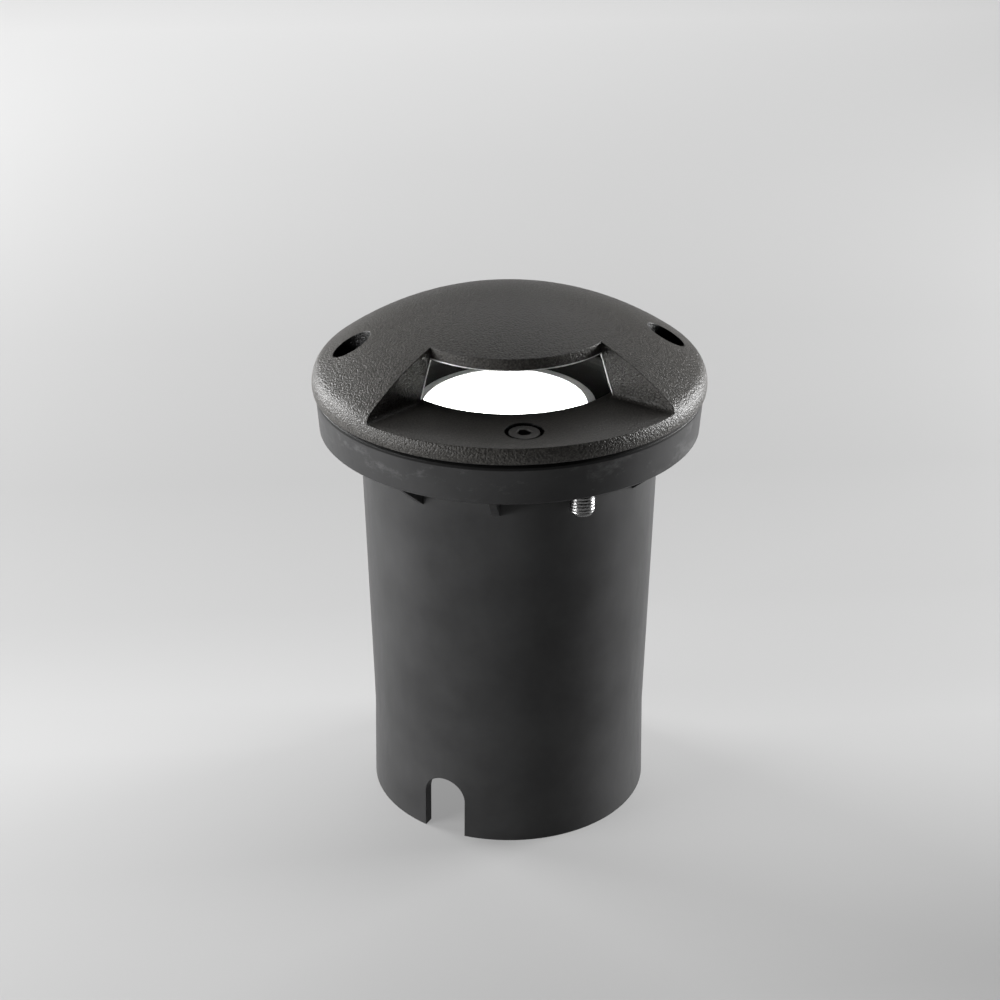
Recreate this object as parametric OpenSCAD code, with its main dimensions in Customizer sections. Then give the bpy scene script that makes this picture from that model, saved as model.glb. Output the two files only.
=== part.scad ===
// In-ground well light with a one-way cowl cap.
// The origin is the centre of the sleeve's foot, +Z is up and -Y is the side that the window faces.
// Places round the axis are angles from -Y towards +X.

/* [Cowl cap] */
// Diameter of the cap
cap_d = 130; // [115:0.5:145]
// Radius of the dome's outer face
dome_r = 103.5; // [99:0.5:112]
// Radius of the rounded rim
rim_r = 8.2; // [7:0.1:9]
// Height of the rounding's centre above the cap's lower edge
rim_rise = 1.8; // [1.4:0.1:2.6]
// Wall of the dome
shell_t = 3.5; // [3:0.1:4]
// Height of the window's floor above the cap's lower edge
window_rise = 5.2; // [4.8:0.1:6]
// Half of the window's opening angle
window_half = 49; // [42:1:52]
// How far the brow stands in over the round opening below it
brow_overhang = 2.8; // [2:0.1:3.6]
// How far the window's floor stands in over the canister's bore
floor_overhang = 0.9; // [0.4:0.1:1.6]
// Distance from the opening to the foot of the leaning cavity wall
cavity_step = 2.2; // [1.8:0.1:2.6]
// Fillet along the foot of each side wall of the window
window_fillet = 1.6; // [1:0.1:2.2]
// How far the cap's plug reaches into the flange
plug_h = 3; // [2.6:0.1:3.6]

/* [Cap screws] */
// Distance of a cap screw's axis from the cap's edge
screw_inset = 13.5; // [13:0.1:13.8]
// Thread diameter of a cap screw
cap_screw_d = 6; // [5.4:0.1:6.4]
// Head diameter of a cap screw
cap_head_d = 10; // [9.4:0.1:10.6]
// Head height of a cap screw
cap_head_h = 4; // [3.6:0.1:4.4]
// Distance between a cap screw's tip and the underside of the housing's flange
screw_tip_gap = 2.2; // [1.6:0.1:2.8]
// Width across the flats of the cap screw's socket
cap_socket_af = 4; // [3.4:0.1:4.6]
// Depth of the head below the window's floor
head_sink = 0.3; // [0.2:0.1:0.6]
// Diameter of the counterbore round a head
counterbore_d = 12.4; // [11.8:0.1:13]

/* [Ground sleeve] */
// Height from the foot to the underside of the flange
sleeve_h = 135; // [125:1:150]
// How far the cap stands out over the top of the tube
tube_inset = 15.3; // [15:0.1:15.6]
// How much smaller the tube's radius is at its waist than at its top
tube_taper = 2.6; // [2:0.1:3]
// How much larger the foot's radius is than the waist's
foot_flare = 0.6; // [0.2:0.1:1.2]
// Height of the flared foot
sleeve_foot_h = 30; // [26:1:34]
// Wall of the tube
sleeve_wall = 3.6; // [3.2:0.1:4]
// Height of the flange
flange_h = 13.5; // [13:0.1:14.5]
// How far the cap stands out over the flange
cap_overhang = 1.1; // [0.8:0.1:1.6]
// Draft of the flange's outer face, from its rim to its underside
flange_draft = 0.9; // [0.4:0.1:1.2]
// Wall of the flange's rim
flange_wall = 3.5; // [3.2:0.1:4]
// Thickness of the flange's floor
flange_floor = 3.2; // [2.8:0.1:3.6]
// Places round the flange that hold a gusset or an insert
flange_places = 12; // [8:4:16]
// Thickness of a gusset
gusset_t = 2.6; // [2:0.1:3.2]
// Height of a gusset
gusset_h = 10.5; // [9:0.5:13]
// Turn of the sleeve's first place from the front
sleeve_turn = -10; // [-12:1:-8]
// Width of a cable notch
notch_w = 15; // [13:0.5:17]
// Height of a cable notch
notch_h = 21; // [18:0.5:24]
// Turn of the first cable notch from the sleeve's first place
notch_turn = -22.5; // [-24:0.5:-20]

/* [Sleeve fixings] */
// Distance of an insert's axis from the cap's edge
insert_inset = 11; // [10.7:0.1:11.2]
// Outer diameter of an insert
insert_d = 8; // [7.6:0.1:8.4]
// How far an insert stands out below the flange
insert_drop = 9.5; // [8.5:0.5:11]
// Thread diameter of a housing screw
housing_screw_d = 5; // [4.6:0.1:5.2]
// Head diameter of a housing screw
housing_head_d = 8.5; // [8.2:0.1:8.8]
// Head height of a housing screw
housing_head_h = 3.5; // [3.2:0.1:3.7]
// Distance between a housing screw's tip and the insert's lower end
housing_tip_gap = 0.8; // [0.4:0.1:2]

/* [Housing] */
// Wall of the canister
can_wall = 3; // [2.8:0.1:3.4]
// Floor of the canister
can_floor = 3; // [2.6:0.1:3.6]
// Gap between the canister and the narrowest part of the sleeve
can_gap = 1; // [0.8:0.1:1.3]
// Gap between the housing's flange and the rim of the sleeve's flange
flange_gap = 0.5; // [0.4:0.1:0.8]
// Height of the tilt axis above the swivel ledge
ledge_drop = 11; // [10.6:0.1:11.6]

/* [Glass and seals] */
// Thickness of the front glass
glass_t = 5; // [4.4:0.1:5.4]
// How far the glass reaches over its seat
glass_lap = 3.8; // [3.4:0.1:4.2]
// Thickness of the glass gasket above, below and round the glass
gasket_t = 0.8; // [0.6:0.1:1]
// Thickness of the flat gasket on the housing's flange
flange_gasket_t = 0.5; // [0.4:0.1:0.7]
// Height of the rim seal, which is the gap under the cap's edge
rim_seal_h = 1; // [0.7:0.1:1.3]
// Width of the rim seal
rim_seal_w = 1.8; // [1.4:0.1:2.2]

/* [Lamp] */
// Gap between the bezel and the canister's wall, where the swivel ring's ears stand
bezel_gap = 9; // [8.9:0.1:11]
// Wall of the bezel's tube
bezel_t = 1.2; // [1:0.1:1.4]
// Width of the bezel's face round the bright disc
bezel_face = 3; // [2.4:0.1:3.6]
// Height of the bezel's face above the tilt axis
bezel_rise = 17.4; // [17:0.1:17.6]
// Gap between the glass and the bezel when the lamp leans as far as it can
glass_gap = 0.4; // [0.3:0.1:1]
// Thickness of the diffuser
diffuser_t = 2; // [1.6:0.1:2.4]
// Tilt at which the lamp is set
lamp_tilt = 2.3; // [0:0.1:11]
// Greatest tilt of the lamp, to either side
tilt_limit = 11.5; // [11:0.5:12.5]
// Turn of the lamp's lean from the front
lamp_turn = -27; // [-170:1:170]
// How far the lamp stands off the middle along its tilt axis
lamp_shift = 1.45; // [0:0.05:1.6]
// Height of the heat sink
sink_h = 22; // [20:0.5:23]
// Number of slots between the heat sink's fins
sink_slots = 7; // [5:1:8]
// Diameter of a tilt pin
pin_d = 4; // [3.6:0.1:4.4]
// Thickness of an ear of the swivel ring
ear_t = 2.5; // [2.2:0.1:2.7]
// Number of light-emitting chips on the outer ring
chips_outer = 12; // [8:1:14]
// Number of light-emitting chips on the inner ring
chips_inner = 6; // [4:1:8]

/* [Driver and gland] */
// Gap between the driver's body and the canister's wall
driver_gap = 8.5; // [8:0.1:10]
// Height of the driver
driver_h = 26; // [22:0.5:27]
// Height of the bosses that carry the driver
driver_boss_h = 15; // [14.5:0.5:16]
// Gap between the driver and the lamp when the lamp is level
lamp_gap = 8.5; // [8:0.5:12]
// Diameter of the gland's thread
gland_d = 20; // [19:0.5:21]
// Wall of the gland's collar and nuts at their flats
gland_nut_wall = 2; // [1.8:0.1:2.6]
// Wall of the gland's rubber bush
seal_wall = 3; // [2.5:0.1:3.4]

/* [Hidden] */
$fn = 96;
// Overrun of every cut
cut = 1;
// Clearance between a screw or pin and the hole that it turns in
fit = 0.05;
// Clearance between parts that only lie beside each other
slack = 0.3;
// Small edge break on moulded and cast pieces
edge = 0.6;

// Heights of the stack, from the foot up
flange_floor_z = sleeve_h + flange_floor;
flange_rim_z = sleeve_h + flange_h;
cap_edge_z = flange_rim_z + rim_seal_h;
plug_z = cap_edge_z - plug_h;
housing_top_z = plug_z - flange_gasket_t;
window_floor_z = cap_edge_z + window_rise;
gasket_top_z = cap_edge_z + slack;
glass_top_z = gasket_top_z - gasket_t;
glass_z = glass_top_z - glass_t;
seat_z = glass_z - gasket_t;

// Radii, from the outside in
cap_r = cap_d / 2;
flange_r = cap_r - cap_overhang;
flange_in_r = flange_r - flange_wall;
plug_r = flange_in_r - flange_gap;
sleeve_top_r = cap_r - tube_inset;
sleeve_waist_r = sleeve_top_r - tube_taper;
sleeve_foot_r = sleeve_waist_r + foot_flare;
can_r = sleeve_waist_r - sleeve_wall - can_gap;
can_bore_r = can_r - can_wall;
glass_r = can_bore_r + glass_lap;
gasket_r = glass_r + gasket_t;
pocket_r = gasket_r + slack;
cap_bore_r = can_bore_r - floor_overhang;
brow_r = cap_bore_r - brow_overhang;
bezel_r = can_bore_r - bezel_gap;
driver_r = can_bore_r - driver_gap;

// Dome: its centre lies so that the rim's rounding runs into it smoothly
rim_cx = cap_r - rim_r;
rim_cz = cap_edge_z + rim_rise;
dome_cz = rim_cz - sqrt(pow(dome_r - rim_r, 2) - pow(rim_cx, 2));
dome_top_z = dome_cz + dome_r;
shell_r = dome_r - shell_t;
ceiling_z = dome_cz + sqrt(pow(shell_r, 2) - pow(brow_r, 2));
cavity_foot_r = cap_bore_r + cavity_step;
// The leaning wall meets the ceiling a little outside the brow
brow_lap = 0.3;

// Hollows cored into the underside of the cap between its two walls
core_in_r = pocket_r + shell_t * 0.8;
core_out_r = plug_r - shell_t;
core_gap_deg = 12;

// Cap screws
screw_r = cap_r - screw_inset;
screw_places = [0, 90, 180, 270];
head_top_z = window_floor_z - head_sink;
head_seat_z = head_top_z - cap_head_h;
cap_screw_l = head_seat_z - flange_floor_z - screw_tip_gap;
screw_hole_slack = 0.3;
socket_depth_share = 0.58;

// Sleeve fixings
place_step = 360 / flange_places;
insert_places = [sleeve_turn + place_step, sleeve_turn + place_step + 180];
insert_r = insert_d / 2;
insert_circle_r = cap_r - insert_inset;
insert_z = sleeve_h - insert_drop;
housing_head_sink = 0.2;
housing_seat_z = housing_top_z - housing_head_sink - housing_head_h;
housing_screw_l = housing_seat_z - insert_z - housing_tip_gap;
housing_counterbore_d = housing_head_d + 3 * slack;
housing_socket_af = housing_screw_d * 0.6;

// Lamp, in the lamp's own frame: the tilt axis is local X through the origin
bezel_in_r = bezel_r - bezel_t;
sink_r = bezel_in_r - fit;
sink_top = 6;
sink_low = sink_top - sink_h;
board_t = 1.6;
shelf_t = board_t;
shelf_w = 2.2;
board_r = sink_r - shelf_w - slack;
bezel_lip_t = 0.8;
diffuser_top = bezel_rise - bezel_lip_t;
diffuser_low = diffuser_top - diffuser_t;
disc_r = bezel_r - bezel_face;
pin_r = pin_d / 2;
ear_gap = 1.1;
ear_in = bezel_r + lamp_shift + ear_gap;
ear_out = ear_in + ear_t;
ear_w = 10;
ear_top_r = ear_w / 2;
pin_head_r = pin_r * 1.75;
pin_head_t = 2;
pin_reach = 6;
trunnion_r = pin_r * 2.4;
slot_w = 3;
slot_h_share = 0.55;
swivel_t = 2.5;
swivel_r = can_bore_r - slack;
ledge_t = 3;
ledge_w = 4;
snap_t = 1.2;
snap_depth = 1;
snap_w = 3.2;
snap_gap_deg = 24;
chip_w = board_r * 0.126;
chip_t = 0.8;
chip_outer_r = board_r * 0.68;
chip_inner_r = board_r * 0.34;
board_screw_r = board_r * 0.87;
board_screw_d = 3;
board_screw_places = [30, 150, 270];

// Heights inside the housing, from the glass down
axis_depth = bezel_rise * cos(tilt_limit) + bezel_r * sin(tilt_limit) + glass_gap;
axis_z = glass_z - axis_depth;
ledge_z = axis_z - ledge_drop;
driver_z = axis_z + sink_low - lamp_gap - driver_h;
can_floor_z = driver_z - driver_boss_h;
can_base_z = can_floor_z - can_floor;

// Inside of the housing
driver_flange_t = 3;
driver_flange_r = can_bore_r - 2 * slack;
driver_screw_d = 4;
driver_boss_d = 9;
driver_boss_r = can_bore_r - driver_boss_d * 0.42;
driver_places = [60, 240];
driver_screw_l = 11;
driver_hole_floor = 1;
lead_r = 2.5;
gland_af = gland_d + 2 * gland_nut_wall;
gland_nut_r = gland_af / sqrt(3);
block_w = can_bore_r * 0.76;
block_d = (can_bore_r - gland_nut_r) * 0.55;
block_h = 12;
block_poles = 3;
block_gap = 2;
block_y = gland_nut_r + block_d / 2 + block_gap;
// The vent and the earth screw stand a little outside the middle between the nut and the wall
fitting_shift = 1.3;
fitting_r = (gland_nut_r + can_bore_r) / 2 + fitting_shift;
earth_place = -60;
earth_boss_h = 5;
earth_screw_d = 4;
earth_screw_l = 4;
vent_place = 30;
vent_d = 10;
vent_flange_d = 15;
vent_flange_t = 3;

// Gland, from the housing's underside down
gland_ring_t = 1.5;
gland_collar_h = 5;
gland_tail_h = 11;
gland_wall = 1.1;
gland_thread_h = 0.9;
gland_tail_r = gland_d / 2 - gland_thread_h;
gland_seal_r = gland_tail_r - gland_wall;
cable_r = gland_seal_r - seal_wall;
cable_slack = 1.2;
gland_cap_floor = 3;
gland_cap_gap = 2;
gland_nut_h = 4.5;
gland_thread_up = 8;
gland_collar_z = can_base_z - gland_ring_t - gland_collar_h;
gland_tail_z = gland_collar_z - gland_tail_h;
gland_cap_z = gland_tail_z - gland_cap_gap - gland_cap_floor;
gland_bore_r = cable_r + cable_slack;

// Puts its children at an angle from the front, with +X pointing outwards
module place(a, r = 0, z = 0) {
    rotate([0, 0, a - 90]) translate([r, 0, z]) children();
}

// Puts its children in the tilted frame of the lamp
module lamp_frame() {
    translate([0, 0, axis_z]) rotate([0, 0, lamp_turn]) rotate([lamp_tilt, 0, 0]) children();
}

// Puts its children on the lamp's own axis, which stands a little off the middle
module lamp_core() {
    lamp_frame() translate([-lamp_shift, 0, 0]) children();
}

// Straight round bar from one height to another
module bar(r, z0, z1) {
    translate([0, 0, z0]) cylinder(r = r, h = z1 - z0);
}

// Six-sided bar from one height to another, by its width across the flats
module hex_bar(af, z0, z1) {
    translate([0, 0, z0]) cylinder(r = af / sqrt(3), h = z1 - z0, $fn = 6);
}

// Round washer-like ring
module ring(r_in, r_out, z0, z1) {
    rotate_extrude() translate([r_in, z0]) square([r_out - r_in, z1 - z0]);
}

// Socket-head screw that stands on its seat, with the head's edge broken
module socket_screw(d, l, head_d, head_h, af) {
    difference() {
        union() {
            bar(d / 2 - fit, -l, head_h / 2);
            rotate_extrude() polygon([
                [0, 0], [head_d / 2, 0], [head_d / 2, head_h - edge / 2],
                [head_d / 2 - edge / 2, head_h], [0, head_h]
            ]);
        }
        hex_bar(af, head_h * (1 - socket_depth_share), head_h + cut);
    }
}

// Half section of the cap's outside: dome, rounded rim and the plug below
module cap_section() {
    far = 1.4;
    line_x = rim_cx * far;
    line_z = dome_cz + (rim_cz - dome_cz) * far;
    high_z = dome_cz + dome_r + cut;
    intersection() {
        translate([0, dome_cz]) circle(r = dome_r);
        polygon([[0, dome_cz], [line_x, line_z], [line_x, high_z], [0, high_z]]);
        translate([0, cap_edge_z]) square([cap_r, dome_r]);
    }
    intersection() {
        translate([rim_cx, rim_cz]) circle(r = rim_r);
        polygon([[0, dome_cz], [line_x, line_z], [cap_r + line_x, line_z], [cap_r + line_x, dome_cz]]);
        translate([0, cap_edge_z]) square([cap_r, dome_r]);
    }
    translate([0, plug_z]) square([plug_r, plug_h]);
}

// Half section of the cavity over the glass: leaning wall under a ceiling that follows the dome
module cavity_section() {
    intersection() {
        translate([0, dome_cz]) circle(r = shell_r);
        polygon([
            [0, window_floor_z], [cavity_foot_r, window_floor_z],
            [brow_r + brow_lap, ceiling_z], [brow_r + brow_lap, dome_top_z], [0, dome_top_z]
        ]);
    }
}

// Sector that the window takes out of the dome, with a fillet left along each side wall
module window_cut() {
    difference() {
        rotate([0, 0, -90 - window_half])
            rotate_extrude(angle = 2 * window_half)
                translate([brow_r, window_floor_z]) square([cap_r, dome_r]);
        for (side = [-1, 1])
            rotate([0, 0, side * window_half])
                translate([0, 0, window_floor_z])
                    rotate([90, 0, 0])
                        linear_extrude(height = 2 * cap_r)
                            difference() {
                                translate([-window_fillet * (1 + side) / 2, 0]) square(window_fillet);
                                translate([-side * window_fillet, window_fillet]) circle(r = window_fillet);
                            }
    }
}

// Hollow cored into the cap's underside between two angles, as high as the walls allow
module core_cut(a0, a1, top_z) {
    rotate([0, 0, a0 - 90])
        rotate_extrude(angle = a1 - a0)
            intersection() {
                translate([0, dome_cz]) circle(r = shell_r);
                translate([core_in_r, plug_z - cut]) square([core_out_r - core_in_r, top_z - plug_z + cut]);
            }
}

module cowl_cap() {
    // Each cored hollow has its like on the other side
    wall_deg = window_half + core_gap_deg / 2;
    floor_deg = window_half - core_gap_deg / 2;
    side_turn = core_gap_deg - wall_deg - 90;
    rear_turn = 90;
    floor_turn = -core_gap_deg - floor_deg;
    color("#3b3a38")
        difference() {
            rotate_extrude() cap_section();
            bar(pocket_r, plug_z - cut, gasket_top_z);
            bar(cap_bore_r, plug_z - cut, window_floor_z + cut);
            rotate_extrude() cavity_section();
            window_cut();
            for (k = [0, 1]) {
                core_cut(wall_deg + k * side_turn, 90 - core_gap_deg + k * side_turn, dome_top_z);
                core_cut(90 + core_gap_deg + k * rear_turn, 180 - core_gap_deg + k * rear_turn, dome_top_z);
                core_cut(core_gap_deg + k * floor_turn, floor_deg + k * floor_turn, cap_edge_z);
            }
            for (a = screw_places) {
                place(a, screw_r) bar(counterbore_d / 2, head_seat_z, dome_top_z);
                place(a, screw_r) bar(cap_screw_d / 2 + screw_hole_slack, plug_z - cut, head_seat_z + cut);
            }
        }
}

module cap_screws() {
    color("#2d2d2e")
        for (a = screw_places)
            place(a, screw_r, head_seat_z)
                socket_screw(cap_screw_d, cap_screw_l, cap_head_d, cap_head_h, cap_socket_af);
}

// Section of the sleeve: drafted tube with a flared foot, and the flange as a shallow cup
module sleeve_section() {
    flange_low_r = flange_r - flange_draft;
    polygon([
        [sleeve_foot_r - sleeve_wall, 0], [sleeve_foot_r, 0], [sleeve_waist_r, sleeve_foot_h],
        [sleeve_top_r, sleeve_h], [flange_low_r - edge, sleeve_h], [flange_low_r, sleeve_h + edge],
        [flange_r, flange_rim_z - edge], [flange_r - edge, flange_rim_z], [flange_in_r, flange_rim_z],
        [flange_in_r, flange_floor_z], [sleeve_top_r - sleeve_wall, flange_floor_z],
        [sleeve_top_r - sleeve_wall, sleeve_h], [sleeve_waist_r - sleeve_wall, sleeve_foot_h]
    ]);
}

// Three-cornered web between the tube and the underside of the flange
module gusset() {
    low_z = sleeve_h - gusset_h;
    tube_r = sleeve_top_r - (sleeve_top_r - sleeve_waist_r) * gusset_h / (sleeve_h - sleeve_foot_h);
    root_r = tube_r - sleeve_wall / 2;
    tip_r = flange_r - flange_draft - 2 * edge;
    rotate([90, 0, 0])
        translate([0, 0, -gusset_t / 2])
            linear_extrude(height = gusset_t)
                polygon([
                    [root_r, sleeve_h + flange_floor / 2], [tip_r, sleeve_h + flange_floor / 2],
                    [tip_r, sleeve_h], [tube_r, low_z], [root_r, low_z]
                ]);
}

// Cable notch: straight sides and a round top, open at the foot
module notch_cut() {
    in_r = sleeve_waist_r - 2 * sleeve_wall;
    reach = sleeve_foot_r - in_r + cut;
    top_r = notch_w / 2;
    translate([in_r, -top_r, -cut]) cube([reach, notch_w, notch_h - top_r + cut]);
    translate([in_r, 0, notch_h - top_r]) rotate([0, 90, 0]) cylinder(r = top_r, h = reach);
}

module ground_sleeve() {
    color("#36363a")
        difference() {
            union() {
                rotate_extrude() sleeve_section();
                for (k = [0 : flange_places - 1])
                    if (k % (flange_places / 2) != 1)
                        place(sleeve_turn + k * place_step) gusset();
            }
            for (a = insert_places)
                place(a, insert_circle_r) bar(insert_r + fit, sleeve_h - cut, flange_floor_z + cut);
            for (a = [notch_turn, notch_turn + 180])
                place(sleeve_turn + a) notch_cut();
        }
}

module sleeve_inserts() {
    color("#77777a")
        for (a = insert_places)
            place(a, insert_circle_r)
                difference() {
                    rotate_extrude() polygon([
                        [0, insert_z], [insert_r - 2 * edge, insert_z], [insert_r, insert_z + 2 * edge],
                        [insert_r, flange_floor_z], [0, flange_floor_z]
                    ]);
                    bar(housing_screw_d / 2, insert_z - cut, flange_floor_z + cut);
                }
}

module housing_screws() {
    color("#8d8e90")
        for (a = insert_places)
            place(a, insert_circle_r, housing_seat_z)
                socket_screw(
                    housing_screw_d, housing_screw_l, housing_head_d,
                    housing_head_h, housing_socket_af
                );
}

// Section of the housing: canister with the swivel ledge, flange and the seat of the glass
module housing_section() {
    groove_z = ledge_z + swivel_t + slack / 2;
    polygon([
        [0, can_base_z], [can_r - can_wall / 2, can_base_z], [can_r, can_base_z + can_wall / 2],
        [can_r, flange_floor_z], [plug_r, flange_floor_z], [plug_r, housing_top_z],
        [pocket_r, housing_top_z], [pocket_r, seat_z], [can_bore_r, seat_z],
        [can_bore_r, groove_z + snap_t + slack / 2], [can_bore_r + snap_depth, groove_z + snap_t + slack / 2],
        [can_bore_r + snap_depth, groove_z], [can_bore_r, groove_z],
        [can_bore_r, ledge_z], [can_bore_r - ledge_w, ledge_z], [can_bore_r - ledge_w, ledge_z - ledge_t],
        [can_bore_r, ledge_z - ledge_t - ledge_w], [can_bore_r, can_floor_z], [0, can_floor_z]
    ]);
}

module housing() {
    color("#2a2a2b")
        difference() {
            union() {
                rotate_extrude() housing_section();
                intersection() {
                    for (a = driver_places)
                        place(a, driver_boss_r) bar(driver_boss_d / 2, can_floor_z - can_floor / 2, driver_z);
                    bar(can_bore_r + can_wall / 2, can_base_z, driver_z);
                }
                place(earth_place, fitting_r)
                    bar(earth_screw_d, can_floor_z - can_floor / 2, can_floor_z + earth_boss_h);
            }
            for (a = screw_places)
                place(a, screw_r)
                    bar(cap_screw_d / 2, head_seat_z - cap_screw_l - 2 * slack, housing_top_z + cut);
            for (a = insert_places) {
                place(a, insert_circle_r) bar(housing_counterbore_d / 2, housing_seat_z, housing_top_z + cut);
                place(a, insert_circle_r)
                    bar(housing_screw_d / 2 + screw_hole_slack, flange_floor_z - cut, housing_seat_z + cut);
            }
            for (a = driver_places)
                place(a, driver_boss_r)
                    bar(driver_screw_d / 2, can_floor_z + driver_hole_floor, driver_z + cut);
            place(earth_place, fitting_r)
                bar(earth_screw_d / 2, can_floor_z, can_floor_z + earth_boss_h + cut);
            place(vent_place, fitting_r) bar(vent_d / 2 + fit, can_base_z - cut, can_floor_z + cut);
            bar(gland_d / 2 + fit, can_base_z - cut, can_floor_z + cut);
        }
}

module flange_gasket() {
    color("#18181a")
        difference() {
            ring(pocket_r + slack, plug_r - slack, housing_top_z, plug_z);
            for (a = screw_places)
                place(a, screw_r) bar(cap_screw_d / 2 + slack, housing_top_z - cut, plug_z + cut);
            for (a = insert_places)
                place(a, insert_circle_r) bar(housing_counterbore_d / 2, housing_top_z - cut, plug_z + cut);
        }
}

module rim_seal() {
    seal_in_r = flange_in_r + (flange_wall - rim_seal_w) / 2;
    color("#101011") ring(seal_in_r, seal_in_r + rim_seal_w, flange_rim_z, cap_edge_z);
}

module glass_gasket() {
    color("#1b1b1c")
        rotate_extrude() polygon([
            [can_bore_r + slack, seat_z], [gasket_r, seat_z], [gasket_r, gasket_top_z],
            [can_bore_r + slack, gasket_top_z], [can_bore_r + slack, glass_top_z], [glass_r, glass_top_z],
            [glass_r, glass_z], [can_bore_r + slack, glass_z]
        ]);
}

module front_glass() {
    color("#cfe0e0", 0.35)
        rotate_extrude() polygon([
            [0, glass_z], [glass_r - edge, glass_z], [glass_r, glass_z + edge],
            [glass_r, glass_top_z - edge], [glass_r - edge, glass_top_z], [0, glass_top_z]
        ]);
}

module swivel_ring() {
    ring_in_r = ear_in;
    color("#9a9c9e")
        translate([0, 0, axis_z]) rotate([0, 0, lamp_turn])
            difference() {
                union() {
                    ring(ring_in_r, swivel_r, -ledge_drop, swivel_t - ledge_drop);
                    for (side = [0, 180])
                        rotate([0, 0, side]) {
                            translate([ear_in, -ear_w / 2, swivel_t / 2 - ledge_drop])
                                cube([ear_t, ear_w, ledge_drop - swivel_t / 2]);
                            translate([ear_in, 0, 0]) rotate([0, 90, 0]) cylinder(r = ear_top_r, h = ear_t);
                        }
                }
                for (side = [0, 180])
                    rotate([0, 0, side]) translate([ear_in - cut, 0, 0]) rotate([0, 90, 0])
                        cylinder(r = pin_r + fit, h = ear_t + 2 * cut);
            }
}

module retaining_ring() {
    low_z = ledge_z + swivel_t + slack / 2 + fit;
    color("#b4b6b8")
        rotate([0, 0, snap_gap_deg / 2])
            rotate_extrude(angle = 360 - snap_gap_deg)
                translate([can_bore_r + snap_depth - fit - snap_w, low_z]) square([snap_w, snap_t - fit]);
}

module heat_sink() {
    pitch = 2 * sink_r / (sink_slots + 1);
    color("#8f9194")
        lamp_frame()
            difference() {
                union() {
                    translate([-lamp_shift, 0, 0]) bar(sink_r, sink_low, sink_top);
                    for (side = [0, 180])
                        rotate([0, 0, side]) translate([sink_r - pin_reach, 0, 0]) rotate([0, 90, 0])
                            cylinder(r = trunnion_r, h = ear_in - slack - sink_r + pin_reach);
                }
                for (k = [1 : sink_slots])
                    translate([-2 * bezel_r, k * pitch - sink_r - slot_w / 2, sink_low - cut])
                        cube([4 * bezel_r, slot_w, (sink_h - sink_top) * slot_h_share + cut]);
                for (side = [0, 180])
                    rotate([0, 0, side]) translate([sink_r - pin_reach, 0, 0])
                        rotate([0, 90, 0]) cylinder(r = pin_r, h = ear_in);
                for (a = board_screw_places)
                    translate([-lamp_shift, 0, 0]) rotate([0, 0, a])
                        translate([board_screw_r, 0, 0]) bar(board_screw_d / 2, 0, sink_top + cut);
            }
}

module led_board() {
    color("#e4e6e2")
        lamp_core()
            difference() {
                bar(board_r, sink_top, sink_top + board_t);
                for (a = board_screw_places)
                    rotate([0, 0, a]) translate([board_screw_r, 0, 0])
                        bar(board_screw_d / 2 + fit, sink_top - cut, sink_top + board_t + cut);
            }
}

module led_chips() {
    color("#f0d060")
        lamp_core() {
            for (k = [0 : chips_outer - 1])
                rotate([0, 0, (k + 0.5) * 360 / chips_outer])
                    translate([chip_outer_r - chip_w / 2, -chip_w / 2, sink_top + board_t])
                        cube([chip_w, chip_w, chip_t]);
            for (k = [0 : chips_inner - 1])
                rotate([0, 0, k * 360 / chips_inner])
                    translate([chip_inner_r - chip_w / 2, -chip_w / 2, sink_top + board_t])
                        cube([chip_w, chip_w, chip_t]);
        }
}

module board_screws() {
    color("#c8c9cb")
        lamp_core()
            for (a = board_screw_places)
                rotate([0, 0, a]) translate([board_screw_r, 0, sink_top + board_t])
                    socket_screw(
                        board_screw_d, board_screw_d * 2, board_screw_d * 1.7,
                        board_screw_d * 0.6, board_screw_d * 0.6
                    );
}

module reflector() {
    foot_r = board_r + slack;
    low = sink_top + shelf_t;
    color("#f2f2ee")
        lamp_core()
            rotate_extrude() polygon([
                [foot_r, low], [sink_r - slack, low],
                [sink_r - slack, diffuser_low], [disc_r - edge, diffuser_low]
            ]);
}

module lamp_diffuser() {
    color("#ffffff")
        lamp_core()
            rotate_extrude() polygon([
                [0, diffuser_low], [sink_r, diffuser_low], [sink_r, diffuser_top - edge],
                [sink_r - edge, diffuser_top], [0, diffuser_top]
            ]);
}

module lamp_bezel() {
    color("#b9babb")
        lamp_core()
            rotate_extrude() polygon([
                [sink_r - shelf_w, sink_top], [bezel_r, sink_top], [bezel_r, bezel_rise - edge / 2],
                [bezel_r - edge / 2, bezel_rise], [disc_r, bezel_rise], [disc_r, diffuser_top],
                [bezel_in_r, diffuser_top], [bezel_in_r, sink_top + shelf_t],
                [sink_r - shelf_w, sink_top + shelf_t]
            ]);
}

module tilt_pins() {
    color("#c4c5c8")
        lamp_frame()
            for (side = [0, 180])
                rotate([0, 0, side]) rotate([0, 90, 0])
                    difference() {
                        union() {
                            bar(pin_r - fit / 2, sink_r - pin_reach + slack, ear_out + slack);
                            bar(pin_head_r, ear_out + slack / 2, ear_out + slack / 2 + pin_head_t);
                        }
                        hex_bar(pin_r, ear_out + pin_head_t / 2, ear_out + pin_head_t + cut);
                    }
}

module driver_case() {
    color("#232428")
        difference() {
            union() {
                bar(driver_flange_r, driver_z, driver_z + driver_flange_t);
                rotate_extrude() polygon([
                    [0, driver_z], [driver_r, driver_z], [driver_r, driver_z + driver_h - 2 * edge],
                    [driver_r - 2 * edge, driver_z + driver_h], [0, driver_z + driver_h]
                ]);
            }
            for (a = driver_places)
                place(a, driver_boss_r)
                    bar(driver_screw_d / 2 + screw_hole_slack,
                        driver_z - cut, driver_z + driver_flange_t + cut);
        }
}

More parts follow.
